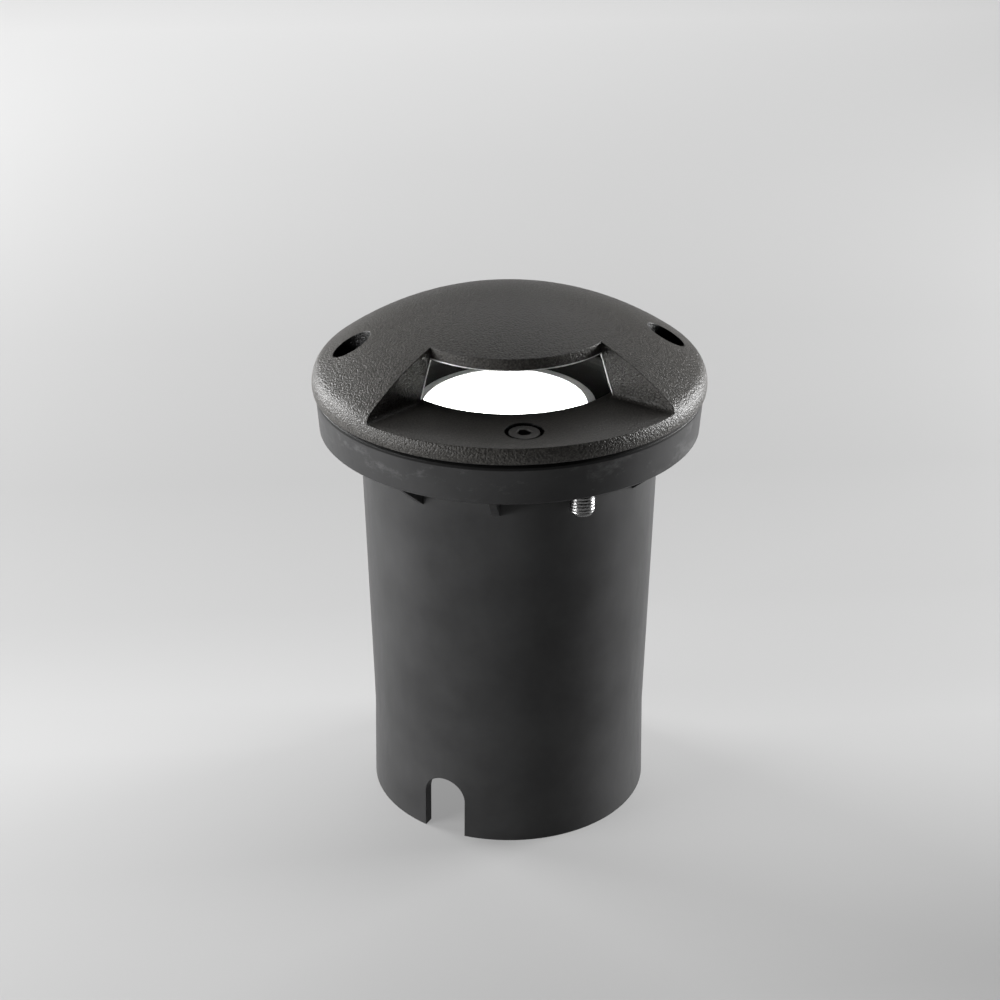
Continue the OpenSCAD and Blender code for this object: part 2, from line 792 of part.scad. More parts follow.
module driver_screws() {
    color("#b8babc")
        for (a = driver_places)
            place(a, driver_boss_r, driver_z + driver_flange_t)
                socket_screw(
                    driver_screw_d, driver_screw_l, driver_screw_d * 1.6,
                    driver_screw_d * 0.6, driver_screw_d * 0.6
                );
}

module lamp_lead() {
    top_z = axis_z + sink_low / cos(tilt_limit) - lead_r * tan(tilt_limit) - slack;
    color("#d8d8d4") bar(lead_r, driver_z + driver_h, top_z);
}

// Three-pole terminal block: wire holes front to back, a screw well over each clamp
module terminal_block() {
    pole = block_w / block_poles;
    color("#e8e6df")
        difference() {
            translate([-block_w / 2, block_y - block_d / 2, can_floor_z]) cube([block_w, block_d, block_h]);
            for (k = [0 : block_poles - 1]) {
                x = (k + 0.5) * pole - block_w / 2;
                translate([x, block_y - block_d / 2 - cut, can_floor_z + block_h * 0.42])
                    rotate([-90, 0, 0]) cylinder(d = pole * 0.4, h = block_d + 2 * cut);
                for (side = [-1, 1])
                    translate([x, block_y + side * block_d / 4, can_floor_z])
                        bar(pole * 0.24, block_h * 0.42, block_h + cut);
            }
        }
}

module terminal_screws() {
    pole = block_w / block_poles;
    color("#c9b36a")
        for (k = [0 : block_poles - 1], side = [-1, 1])
            translate([(k + 0.5) * pole - block_w / 2, block_y + side * block_d / 4, can_floor_z])
                difference() {
                    bar(pole * 0.24 - fit, block_h * 0.7, block_h - edge);
                    translate([-pole / 2, -edge / 2, block_h - 2 * edge]) cube([pole, edge, 2 * edge]);
                }
}

module earth_screw() {
    color("#c9a24c")
        place(earth_place, fitting_r, can_floor_z + earth_boss_h)
            socket_screw(
                earth_screw_d, earth_screw_l, earth_screw_d * 1.9,
                earth_screw_d * 0.6, earth_screw_d * 0.6
            );
}

module vent_plug() {
    color("#2c2c2e")
        place(vent_place, fitting_r)
            difference() {
                union() {
                    bar(vent_d / 2, can_base_z - vent_flange_t / 2, can_floor_z + vent_flange_t);
                    bar(vent_flange_d / 2, can_base_z - vent_flange_t, can_base_z);
                }
                bar(vent_d / 4, can_base_z - vent_flange_t / 2, can_floor_z + vent_flange_t + cut);
            }
}

module gland_body() {
    color("#242426")
        difference() {
            union() {
                bar(gland_d / 2, gland_collar_z + gland_collar_h / 2, can_floor_z + gland_thread_up);
                hex_bar(gland_af, gland_collar_z, gland_collar_z + gland_collar_h);
                bar(gland_tail_r, gland_tail_z, gland_collar_z + gland_collar_h / 2);
            }
            bar(gland_seal_r + fit, gland_tail_z - cut, gland_collar_z);
            bar(gland_bore_r, gland_tail_z, can_floor_z + gland_thread_up + cut);
        }
}

module gland_o_ring() {
    color("#151516")
        rotate_extrude()
            translate([gland_d / 2 + gland_ring_t / 2 + slack, can_base_z - gland_ring_t / 2])
                circle(d = gland_ring_t);
}

module gland_locknut() {
    color("#3a3a3c")
        difference() {
            hex_bar(gland_af, can_floor_z, can_floor_z + gland_nut_h);
            bar(gland_d / 2 + fit, can_floor_z - cut, can_floor_z + gland_nut_h + cut);
        }
}

module gland_seal() {
    color("#1a1a1b")
        ring(cable_r, gland_seal_r, gland_cap_z + gland_cap_floor, gland_collar_z - slack);
}

module gland_cap() {
    top_z = gland_collar_z - slack;
    color("#2b2b2d")
        difference() {
            union() {
                hex_bar(gland_af, gland_cap_z + gland_cap_floor, top_z);
                rotate_extrude() polygon([
                    [0, gland_cap_z], [gland_seal_r, gland_cap_z],
                    [gland_af / 2, gland_cap_z + gland_cap_floor + edge],
                    [0, gland_cap_z + gland_cap_floor + edge]
                ]);
            }
            bar(gland_bore_r, gland_cap_z - cut, gland_cap_z + gland_cap_floor + cut);
            bar(gland_tail_r + fit, gland_cap_z + gland_cap_floor, top_z + cut);
        }
}

ground_sleeve();
sleeve_inserts();
housing_screws();
housing();
flange_gasket();
rim_seal();
glass_gasket();
front_glass();
cowl_cap();
cap_screws();
swivel_ring();
retaining_ring();
heat_sink();
led_board();
led_chips();
board_screws();
reflector();
lamp_diffuser();
lamp_bezel();
tilt_pins();
driver_case();
driver_screws();
lamp_lead();
terminal_block();
terminal_screws();
earth_screw();
vent_plug();
gland_body();
gland_o_ring();
gland_locknut();
gland_seal();
gland_cap();
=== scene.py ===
import math

import bpy
from bpy.props import FloatProperty, FloatVectorProperty, IntProperty, PointerProperty
from bpy.types import Operator, Panel, PropertyGroup
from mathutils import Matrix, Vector


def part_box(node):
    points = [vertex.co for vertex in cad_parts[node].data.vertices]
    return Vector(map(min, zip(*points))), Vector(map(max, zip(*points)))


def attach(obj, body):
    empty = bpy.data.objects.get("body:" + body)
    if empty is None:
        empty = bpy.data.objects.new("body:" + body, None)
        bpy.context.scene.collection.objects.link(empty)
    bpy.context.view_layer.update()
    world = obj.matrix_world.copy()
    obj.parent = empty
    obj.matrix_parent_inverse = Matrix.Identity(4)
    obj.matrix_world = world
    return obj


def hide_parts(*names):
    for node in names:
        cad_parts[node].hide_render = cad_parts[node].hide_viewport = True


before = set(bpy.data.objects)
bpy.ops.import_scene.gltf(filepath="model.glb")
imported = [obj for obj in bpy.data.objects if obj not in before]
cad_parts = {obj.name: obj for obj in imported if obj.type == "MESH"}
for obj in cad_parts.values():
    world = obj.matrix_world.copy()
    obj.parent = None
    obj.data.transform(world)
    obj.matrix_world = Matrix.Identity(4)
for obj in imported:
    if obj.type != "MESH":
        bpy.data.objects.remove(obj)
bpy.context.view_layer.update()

bl_info = {
    "name": "In-Ground Well Light",
    "version": (1, 0, 0),
    "blender": (4, 5, 0),
    "location": "View3D > Sidebar > Well Light",
    "description": "Gives the well light its textured cap, moulded sleeve, lit lamp and screws, and a studio",
    "category": "Object",
}

MM = 0.001
SCREW_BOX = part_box("cap_screws")
INSERT_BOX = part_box("sleeve_inserts")

# Places on the cap and the flange where a finish or the painted shade changes
CAVITY_RADIUS = 41 * MM
SCREW_CIRCLE = 51.5 * MM
WELL_RADIUS = 6.4 * MM
WINDOW_FLOOR = 154.7 * MM
FLANGE_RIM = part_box("ground_sleeve")[1].z
FLANGE_FOOT = FLANGE_RIM - 13.5 * MM


# Sizes, colours and studio, which a user may change in the sidebar

class ScrewSizes(PropertyGroup):
    count: IntProperty(name="Screws", description="Number of cap screws", default=4, min=1, max=12)
    circle: FloatProperty(
        name="Circle radius", description="Radius of the circle that the cap screws stand on",
        default=SCREW_CIRCLE, unit="LENGTH")
    head: FloatProperty(
        name="Head radius", description="Radius of a screw's head", default=5 * MM, unit="LENGTH")
    head_height: FloatProperty(
        name="Head height", description="Height of a screw's head", default=4 * MM, unit="LENGTH")
    shank: FloatProperty(
        name="Shank radius", description="Radius of a screw's shank", default=2.95 * MM, unit="LENGTH")
    shank_length: FloatProperty(
        name="Shank length", description="Length of a screw under its head", default=10 * MM, unit="LENGTH")
    socket: FloatProperty(
        name="Socket width", description="Width of the hexagon across its flats",
        default=4 * MM, unit="LENGTH")
    socket_depth: FloatProperty(
        name="Socket depth", description="Depth of the hexagon", default=2.3 * MM, unit="LENGTH")
    edge: FloatProperty(
        name="Edge break", description="Rounding of a head's edges", default=0.35 * MM, unit="LENGTH")


class BushingSizes(PropertyGroup):
    count: IntProperty(
        name="Bushings", description="Number of bushings in the flange", default=2, min=1, max=12)
    circle: FloatProperty(
        name="Circle radius", description="Radius of the circle that the bushings stand on",
        default=54 * MM, unit="LENGTH")
    first: FloatProperty(
        name="First bushing", description="Angle of the first bushing from the right-hand side",
        default=math.radians(-70), subtype="ANGLE")
    radius: FloatProperty(name="Radius", description="Radius of a bushing", default=4 * MM, unit="LENGTH")
    bore: FloatProperty(
        name="Bore radius", description="Radius of a bushing's bore", default=2.5 * MM, unit="LENGTH")
    rib_pitch: FloatProperty(
        name="Rib pitch", description="Distance from rib to rib on a bushing",
        default=1.1 * MM, unit="LENGTH")
    rib_depth: FloatProperty(
        name="Rib depth", description="Depth of the grooves between the ribs",
        default=0.22 * MM, unit="LENGTH")
    nose: FloatProperty(
        name="Nose height", description="Height of a bushing's rounded end", default=2.4 * MM, unit="LENGTH")


class WindowEdgeSizes(PropertyGroup):
    half_angle: FloatProperty(
        name="Half angle", description="Half of the window's opening angle",
        default=math.radians(49), subtype="ANGLE")
    brow: FloatProperty(
        name="Brow radius", description="Radius of the brow over the lamp", default=35.8 * MM, unit="LENGTH")
    brow_height: FloatProperty(
        name="Brow height", description="Height of the brow's lower edge", default=168.15 * MM, unit="LENGTH")
    foot: FloatProperty(
        name="Foot radius", description="Radius at which the cavity's wall meets the window's floor",
        default=40.8 * MM, unit="LENGTH")
    foot_height: FloatProperty(
        name="Floor height", description="Height of the window's floor", default=WINDOW_FLOOR, unit="LENGTH")
    # The line is a white line painted as a highlight along the window's inner edges
    line: FloatProperty(
        name="Line radius", description="Greatest radius of the bare line along the edge",
        default=0.27 * MM, unit="LENGTH")


class Finishes(PropertyGroup):
    coat: FloatVectorProperty(
        name="Powder coat", description="Colour of the cap's powder coat", subtype="COLOR",
        default=(0.052, 0.0495, 0.0458), min=0, max=1)
    plastic: FloatVectorProperty(
        name="Moulded plastic", description="Colour of the sleeve", subtype="COLOR",
        default=(0.038, 0.038, 0.0385), min=0, max=1)
    steel: FloatVectorProperty(
        name="Steel", description="Colour of the bare steel pieces", subtype="COLOR",
        default=(0.22, 0.22, 0.22), min=0, max=1)
    glow: FloatProperty(name="Glow", description="Strength of the lit disc", default=8.0, min=0)


class Studio(PropertyGroup):
    lens: FloatProperty(name="Focal length", description="Focal length of the camera, in mm", default=76.46)
    distance: FloatProperty(
        name="Distance", description="Distance from the camera to the point that it looks at",
        default=719.61 * MM, unit="LENGTH")
    elevation: FloatProperty(
        name="Elevation", description="Angle at which the camera looks down",
        default=math.radians(26.297), subtype="ANGLE")
    turn: FloatProperty(
        name="Turn", description="Angle of the camera from the front, towards the right",
        default=math.radians(-4.8), subtype="ANGLE")
    aim_height: FloatProperty(
        name="Aim height", description="Height of the point that the camera looks at",
        default=105.739 * MM, unit="LENGTH")
    aim_side: FloatProperty(
        name="Aim offset", description="Distance of that point from the axis, towards the camera's right",
        default=-3.114 * MM, unit="LENGTH")
    floor: FloatVectorProperty(
        name="Floor", description="Colour of the floor", subtype="COLOR",
        default=(0.3, 0.3, 0.3), min=0, max=1)
    floor_glow: FloatProperty(
        name="Floor glow", default=0.46, min=0,
        description="Greatest brightness that the floor adds in the picture and in reflections")


# Small helpers for node trees

class Tree:
    """Adds nodes to a tree and links them by socket names or numbers."""

    def __init__(self, tree):
        self.tree = tree

    def add(self, kind, settings=None, **values):
        node = self.tree.nodes.new(kind)
        for name, value in (settings or {}).items():
            setattr(node, name, value)
        for name, value in values.items():
            self.put(node, name.replace("_", " "), value)
        return node

    def put(self, node, key, value):
        socket = self.socket(node.inputs, key)
        if isinstance(value, bpy.types.NodeSocket):
            self.tree.links.new(value, socket)
        else:
            socket.default_value = value

    @staticmethod
    def socket(sockets, key):
        if isinstance(key, int):
            return sockets[key]
        for socket in sockets:
            if socket.name == key and socket.enabled:
                return socket
        raise KeyError(f"no socket named {key}")

    def math(self, operation, a, b=0.0, c=0.0, clamp=False):
        node = self.add("ShaderNodeMath", {"operation": operation, "use_clamp": clamp})
        for index, value in enumerate((a, b, c)):
            self.put(node, index, value)
        return node.outputs[0]

    def split(self, vector):
        return self.add("ShaderNodeSeparateXYZ", Vector=vector).outputs

    def vector(self, x=0.0, y=0.0, z=0.0):
        return self.add("ShaderNodeCombineXYZ", X=x, Y=y, Z=z).outputs[0]


class Paint(Tree):
    """A material's tree with one Principled shader, patterned in the piece's own coordinates."""

    def __init__(self, name):
        material = bpy.data.materials.new(name)
        material.use_nodes = True
        super().__init__(material.node_tree)
        self.tree.nodes.clear()
        self.material = material
        self.place = self.add("ShaderNodeTexCoord").outputs["Object"]
        self.shader = self.add("ShaderNodeBsdfPrincipled")
        self.out = self.add("ShaderNodeOutputMaterial")
        self.tree.links.new(self.shader.outputs[0], self.out.inputs["Surface"])

    def noise(self, scale, detail=2.0, roughness=0.5, stretch=None):
        place = self.place
        if stretch:
            mapping = self.add("ShaderNodeMapping", Vector=place, Scale=stretch)
            place = mapping.outputs[0]
        node = self.add("ShaderNodeTexNoise", Vector=place, Scale=scale, Detail=detail, Roughness=roughness)
        return node.outputs["Fac"]

    def span(self, value, low, high, start=0.3, end=0.7):
        node = self.add("ShaderNodeMapRange", {"clamp": True}, Value=value)
        for key, number in (("From Min", start), ("From Max", end), ("To Min", low), ("To Max", high)):
            self.put(node, key, number)
        return node.outputs["Result"]

    def blend(self, share, first, second):
        """A mix of two colours, each of them a socket or three numbers."""
        node = self.add("ShaderNodeMix", {"data_type": "RGBA"})
        self.put(node, 0, share)
        for index, colour in ((6, first), (7, second)):
            self.put(node, index, colour if isinstance(colour, bpy.types.NodeSocket) else (*colour, 1))
        return node.outputs[2]

    def length(self, x, y):
        """Length of a line with two given sides."""
        return self.math("SQRT", self.math("ADD", self.math("MULTIPLY", x, x), self.math("MULTIPLY", y, y)))

    def bump(self, height, distance, strength=1.0, under=None):
        node = self.add("ShaderNodeBump", Height=height, Strength=strength, Distance=distance)
        if under is not None:
            self.put(node, "Normal", under)
        return node.outputs[0]

    def soft_edge(self, radius):
        return self.add("ShaderNodeBevel", {"samples": 6}, Radius=radius).outputs[0]

    def finish(self, **values):
        """Sets the shader's sockets and returns the material."""
        for name, value in values.items():
            self.put(self.shader, name.replace("_", " "), value)
        return self.material


def scaled(colour, factor):
    return tuple(channel * factor for channel in colour)


# Materials, one function for each finish

# Near-black colour painted as shade: in the cap's cavity, in its screw wells and on the flange's lip under
# the cap
UNLIT = (0.004, 0.004, 0.004)

# Upward part of the normal: under the first a face looks down, under the second it is steep, over the
# third it is level
DOWN = -0.1
STEEP = 0.5
LEVEL = 0.9


def powder_coat():
    """Fine sandy powder coat, with painted shade: near-black inside the cavity and the screw wells."""
    colour = bpy.context.scene.well_light_finishes.coat
    paint = Paint("powder_coat")
    spot = paint.split(paint.place)
    facing = paint.split(paint.add("ShaderNodeNewGeometry").outputs["True Normal"])["Z"]

    # Painted shade: faces looking down inside the cavity are coloured near-black, as if no light reached them
    painted_cavity_shade = paint.math(
        "MULTIPLY", paint.math("LESS_THAN", facing, DOWN),
        paint.math("LESS_THAN", paint.length(spot["X"], spot["Y"]), CAVITY_RADIUS))

    # The screws stand on the X and Y axes, so one well measured from both axes covers all four
    side_x = paint.math("ABSOLUTE", spot["X"])
    side_y = paint.math("ABSOLUTE", spot["Y"])
    from_screw = paint.length(
        paint.math("SUBTRACT", paint.math("MAXIMUM", side_x, side_y), SCREW_CIRCLE),
        paint.math("MINIMUM", side_x, side_y))
    # Painted shade: steep faces in the screw wells are coloured near-black, as if no light reached them
    painted_well_shade = paint.math(
        "MULTIPLY", paint.math("LESS_THAN", from_screw, WELL_RADIUS), paint.math("LESS_THAN", facing, STEEP))

    grain = paint.noise(1500, detail=2, roughness=0.6)
    swell = paint.noise(700, detail=2)
    grit = paint.add("ShaderNodeTexVoronoi", Vector=paint.place, Scale=1450).outputs["Distance"]
    sand = paint.math("SUBTRACT", paint.math("MULTIPLY", grain, 0.8), paint.math("MULTIPLY", grit, 0.4))
    speckle = paint.blend(
        paint.span(grain, 0, 1, start=0.36, end=0.66), scaled(colour, 0.5), scaled(colour, 1.35))

    # The window's floor is smoother than the rest
    on_floor = paint.math(
        "MULTIPLY", paint.math("LESS_THAN", spot["Z"], WINDOW_FLOOR + 0.1 * MM),
        paint.math("GREATER_THAN", facing, LEVEL))
    depth = paint.span(on_floor, 0.32 * MM, 0.1 * MM, start=0.0, end=1.0)
    coarse = paint.bump(swell, 0.16 * MM, 0.4, paint.soft_edge(0.5 * MM))
    return paint.finish(
        Base_Color=paint.blend(paint.math("MAXIMUM", painted_cavity_shade, painted_well_shade), speckle, UNLIT),
        Roughness=paint.span(grain, 0.28, 0.52),
        Specular_IOR_Level=0.2,
        Normal=paint.bump(sand, depth, 1.0, coarse))


def moulded_plastic():
    """Satin black plastic with faint clouds from the moulding, scuffed on the flange, and with a painted
    shadow along its lip under the cap.
    """
    colour = bpy.context.scene.well_light_finishes.plastic
    paint = Paint("moulded_plastic")
    clouds = paint.noise(38, detail=5, roughness=0.6)
    smear = paint.noise(160, detail=4, roughness=0.6, stretch=(1, 1, 0.35))
    scratch = paint.noise(75, detail=6, roughness=0.72, stretch=(1, 1, 1.8))
    height = paint.split(paint.place)["Z"]
    on_flange = paint.span(height, 0, 1, start=FLANGE_FOOT - 1 * MM, end=FLANGE_FOOT + 2 * MM)
    # Painted shadow: a band at the top of the flange, under the cap's overhang, is coloured near-black
    lip_painted_shadow = paint.span(height, 0, 1, start=FLANGE_RIM - 1.7 * MM, end=FLANGE_RIM - 1.4 * MM)
    scuffs = paint.math("MULTIPLY", paint.span(scratch, 0, 0.75, start=0.54, end=0.74), on_flange)
    tone = paint.blend(paint.span(clouds, 0, 1), scaled(colour, 0.86), scaled(colour, 1.3))
    rubbed = paint.blend(scuffs, tone, scaled(colour, 3.2))
    return paint.finish(
        Base_Color=paint.blend(lip_painted_shadow, rubbed, UNLIT),
        Roughness=paint.math("ADD", paint.span(clouds, 0.0, 0.12), paint.span(smear, 0.34, 0.46)),
        Specular_IOR_Level=0.14,
        Normal=paint.bump(paint.noise(900, detail=2), 0.02 * MM, 0.35, paint.soft_edge(0.4 * MM)))


def plain(name, colour, roughness, metallic=0.0, grain=600, relief=0.02, edge=0.25, spread=0.12,
          stretch=None):
    """A finish with a slight grain, for pieces that are all of one stuff. Relief and edge are in mm."""
    paint = Paint(name)
    mottle = paint.noise(grain, detail=3, stretch=stretch)
    return paint.finish(
        Base_Color=paint.blend(
            paint.span(mottle, 0, 1), scaled(colour, 1 - spread), scaled(colour, 1 + spread / 2)),
        Roughness=paint.span(mottle, roughness - 0.06, roughness + 0.06),
        Metallic=metallic,
        Normal=paint.bump(mottle, relief * MM, 0.6, paint.soft_edge(edge * MM)))


def glowing_opal():
    """Opal disc with its own light."""
    paint = Paint("glowing_opal")
    return paint.finish(
        Base_Color=(0.9, 0.9, 0.88, 1),
        Roughness=0.35,
        Emission_Color=(1.0, 0.985, 0.96, 1),
        Emission_Strength=bpy.context.scene.well_light_finishes.glow,
        Normal=paint.bump(paint.noise(500, detail=2), 0.01 * MM, 0.3))


def clear_glass():
    """Clear safety glass with the faintest film of dust."""
    paint = Paint("clear_glass")
    dust = paint.noise(240, detail=3)
    return paint.finish(
        Base_Color=paint.blend(paint.span(dust, 0, 1), (0.93, 0.95, 0.94), (0.98, 1.0, 0.99)),
        Roughness=paint.span(dust, 0.0, 0.03, start=0.5),
        IOR=1.5,
        Transmission_Weight=1.0)


PLAIN_FINISHES = {
    "black_screw": dict(colour=(0.052, 0.050, 0.047), roughness=0.45, metallic=0.2, grain=1800),
    "bezel_grey": dict(colour=(0.8, 0.8, 0.8), roughness=0.5, grain=1200),
    "black_rubber": dict(colour=(0.006, 0.006, 0.006), roughness=0.75, grain=1400, relief=0.03),
    "housing_coat": dict(colour=(0.03, 0.03, 0.03), roughness=0.5, grain=1300, relief=0.08),
    # White lines painted as highlights along the window's inner edges
    "painted_highlight_edge": dict(colour=(0.86, 0.86, 0.85), roughness=0.4, metallic=0.3, grain=2600, edge=0.05),
    "stainless": dict(colour=(0.55, 0.55, 0.54), roughness=0.28, metallic=1.0, grain=1600),
    "spring_steel": dict(colour=(0.36, 0.36, 0.37), roughness=0.33, metallic=1.0, grain=1400),
    "turned_aluminium": dict(
        colour=(0.62, 0.63, 0.64), roughness=0.36, metallic=1.0, grain=420, relief=0.03, stretch=(1, 1, 6)),
    "board_white": dict(colour=(0.78, 0.79, 0.76), roughness=0.4, grain=700),
    "phosphor": dict(colour=(0.82, 0.62, 0.14), roughness=0.35, grain=2200),
    "white_plastic": dict(colour=(0.84, 0.84, 0.82), roughness=0.42, grain=900),
    "driver_black": dict(colour=(0.022, 0.022, 0.026), roughness=0.52, grain=1000, relief=0.05),
    "cream_plastic": dict(colour=(0.68, 0.64, 0.52), roughness=0.45, grain=900),
    "plain_brass": dict(colour=(0.62, 0.44, 0.17), roughness=0.3, metallic=1.0, grain=1500),
    "pale_silicone": dict(colour=(0.6, 0.59, 0.55), roughness=0.6, grain=800, relief=0.04),
    "gland_black": dict(colour=(0.02, 0.02, 0.021), roughness=0.48, grain=1100, relief=0.04),
}

FINISH_OF_NODE = {
    "ground_sleeve": "moulded_plastic", "cowl_cap": "powder_coat", "front_glass": "clear_glass",
    "lamp_diffuser": "glowing_opal", "lamp_bezel": "bezel_grey", "rim_seal": "black_rubber",
    "flange_gasket": "black_rubber", "glass_gasket": "black_rubber", "gland_o_ring": "black_rubber",
    "gland_seal": "black_rubber", "housing": "housing_coat", "housing_screws": "stainless",
    "retaining_ring": "spring_steel", "tilt_pins": "stainless", "board_screws": "stainless",
    "driver_screws": "stainless", "swivel_ring": "turned_aluminium", "heat_sink": "turned_aluminium",
    "led_board": "board_white", "led_chips": "phosphor", "reflector": "white_plastic",
    "driver_case": "driver_black", "terminal_block": "cream_plastic", "terminal_screws": "plain_brass",
    "earth_screw": "plain_brass", "lamp_lead": "pale_silicone", "gland_body": "gland_black",
    "gland_locknut": "gland_black", "gland_cap": "gland_black", "vent_plug": "gland_black",
}


def make_finishes():
    """Makes every material once and returns them by name."""
    finishes = {name: plain(name, **values) for name, values in PLAIN_FINISHES.items()}
    steel = tuple(bpy.context.scene.well_light_finishes.steel)
    finishes["ribbed_steel"] = plain(
        "ribbed_steel", steel, roughness=0.26, metallic=1.0, grain=900, relief=0.06, spread=0.3)
    for make in (powder_coat, moulded_plastic, glowing_opal, clear_glass):
        finishes[make.__name__] = make()
    return finishes


# Geometry Nodes trees

# Faces round a head or a bushing, round a shank or a bore, and round a painted highlight line
WIDE_SIDES = 72
SLIM_SIDES = 48
LINE_SIDES = 8

# Steps along a ribbed bushing, along the brow, and along an upright edge
RIB_STEPS = 120
BROW_STEPS = 260
UPRIGHT_STEPS = 70

# Share of a screw's head that its shank reaches into, of a bushing's width that its rounded end keeps, of a
# bushing's height that the drill stands out at each end, and of the painted highlight line's radius where it
# is thinnest
SHANK_OVERLAP = 0.3
NOSE_TIP = 0.72
DRILL_OVERHANG = 0.1
LEAST_LINE = 0.15

# Corners up to the first angle are shaded smooth, corners over the second are rounded, and corners over the
# third stay sharp between a bushing's ribs
SMOOTH_ANGLE = math.radians(32)
ROUNDED_ANGLE = math.radians(35)
RIB_ANGLE = math.radians(50)
WELD_DISTANCE = 0.002 * MM


def new_geometry_tree(name, inputs):
    """A Geometry Nodes tree with a geometry output and the named inputs."""
    tree = bpy.data.node_groups.new(name, "GeometryNodeTree")
    tree.interface.new_socket("Geometry", in_out="OUTPUT", socket_type="NodeSocketGeometry")
    for label, kind in inputs:
        tree.interface.new_socket(label, in_out="INPUT", socket_type=kind)
    return tree


def size_inputs(sizes, count=False):
    """The inputs of a tree that makes a piece: its sizes, a count where it is repeated, and its finish."""
    counts = [("Count", "NodeSocketInt")] if count else []
    return counts + [(size, "NodeSocketFloat") for size in sizes] + [("Finish", "NodeSocketMaterial")]


def give_back(t, geometry):
    """Ends a tree with its result."""
    t.tree.links.new(geometry, t.add("NodeGroupOutput").inputs[0])


def give_back_finished(t, geometry, finish):
    """Ends a tree with real meshes in their finish."""
    real = t.add("GeometryNodeRealizeInstances", Geometry=geometry)
    coated = t.add("GeometryNodeSetMaterial", Geometry=real.outputs[0], Material=finish)
    give_back(t, coated.outputs[0])


def pillar(t, sides, radius, height, low, rings=1):
    """A closed round or many-sided bar that stands on a given height."""
    solid = t.add(
        "GeometryNodeMeshCylinder", {"fill_type": "NGON"}, Vertices=sides, Side_Segments=rings,
        Radius=radius, Depth=height).outputs["Mesh"]
    lift = t.vector(z=t.math("ADD", low, t.math("MULTIPLY", height, 0.5)))
    return t.add("GeometryNodeTransform", Geometry=solid, Translation=lift).outputs[0]


def places_on_circle(t, count, circle, height, first):
    """Points spread evenly on a circle, the first at a given angle from +X."""
    line = t.add("GeometryNodeMeshLine", {"mode": "OFFSET"}, Count=count).outputs[0]
    index = t.add("GeometryNodeInputIndex").outputs[0]
    angle = t.math("ADD", first, t.math("MULTIPLY", index, t.math("DIVIDE", math.tau, count)))
    spot = t.vector(
        t.math("MULTIPLY", t.math("COSINE", angle), circle),
        t.math("MULTIPLY", t.math("SINE", angle), circle), height)
    return t.add("GeometryNodeSetPosition", Geometry=line, Position=spot).outputs[0]


def copies(t, points, piece, seed):
    """Copies of a piece on the points, each turned a little differently."""
    spin = t.add("FunctionNodeRandomValue", {"data_type": "FLOAT"}, Min=0.0, Max=math.pi / 3, Seed=seed)
    turn = t.vector(z=spin.outputs[1])
    return t.add("GeometryNodeInstanceOnPoints", Points=points, Instance=piece, Rotation=turn).outputs[0]


def drilled(t, solid, drill):
    """One solid with another taken out of it."""
    cut = t.add("GeometryNodeMeshBoolean", {"operation": "DIFFERENCE", "solver": "EXACT"})
    t.put(cut, "Mesh 1", solid)
    t.put(cut, "Mesh 2", drill)
    return cut.outputs["Mesh"]


def socket_screws_tree():
    """Round heads with a hexagon socket and a shank, stood on a circle."""
    sizes = ["Circle", "Head", "Head Height", "Shank", "Shank Length", "Socket", "Socket Depth", "Seat"]
    tree = new_geometry_tree("socket_screws", size_inputs(sizes, count=True))
    t = Tree(tree)
    given = t.add("NodeGroupInput").outputs
    head = pillar(t, WIDE_SIDES, given["Head"], given["Head Height"], 0.0)
    overlap = t.math("MULTIPLY", given["Head Height"], SHANK_OVERLAP)
    shank_height = t.math("ADD", given["Shank Length"], overlap)
    shank_low = t.math("MULTIPLY", given["Shank Length"], -1.0)
    shank = pillar(t, SLIM_SIDES, given["Shank"], shank_height, shank_low)
    whole = t.add("GeometryNodeMeshBoolean", {"operation": "UNION", "solver": "EXACT"})
    t.put(whole, "Mesh", head)
    t.put(whole, "Mesh", shank)
    hex_radius = t.math("DIVIDE", given["Socket"], math.sqrt(3))
    hex_low = t.math("SUBTRACT", given["Head Height"], given["Socket Depth"])
    hexagon = pillar(t, 6, hex_radius, given["Head Height"], hex_low)
    screw = drilled(t, whole.outputs["Mesh"], hexagon)
    points = places_on_circle(t, given["Count"], given["Circle"], given["Seat"], 0.0)
    give_back_finished(t, copies(t, points, screw, seed=7), given["Finish"])
    return tree


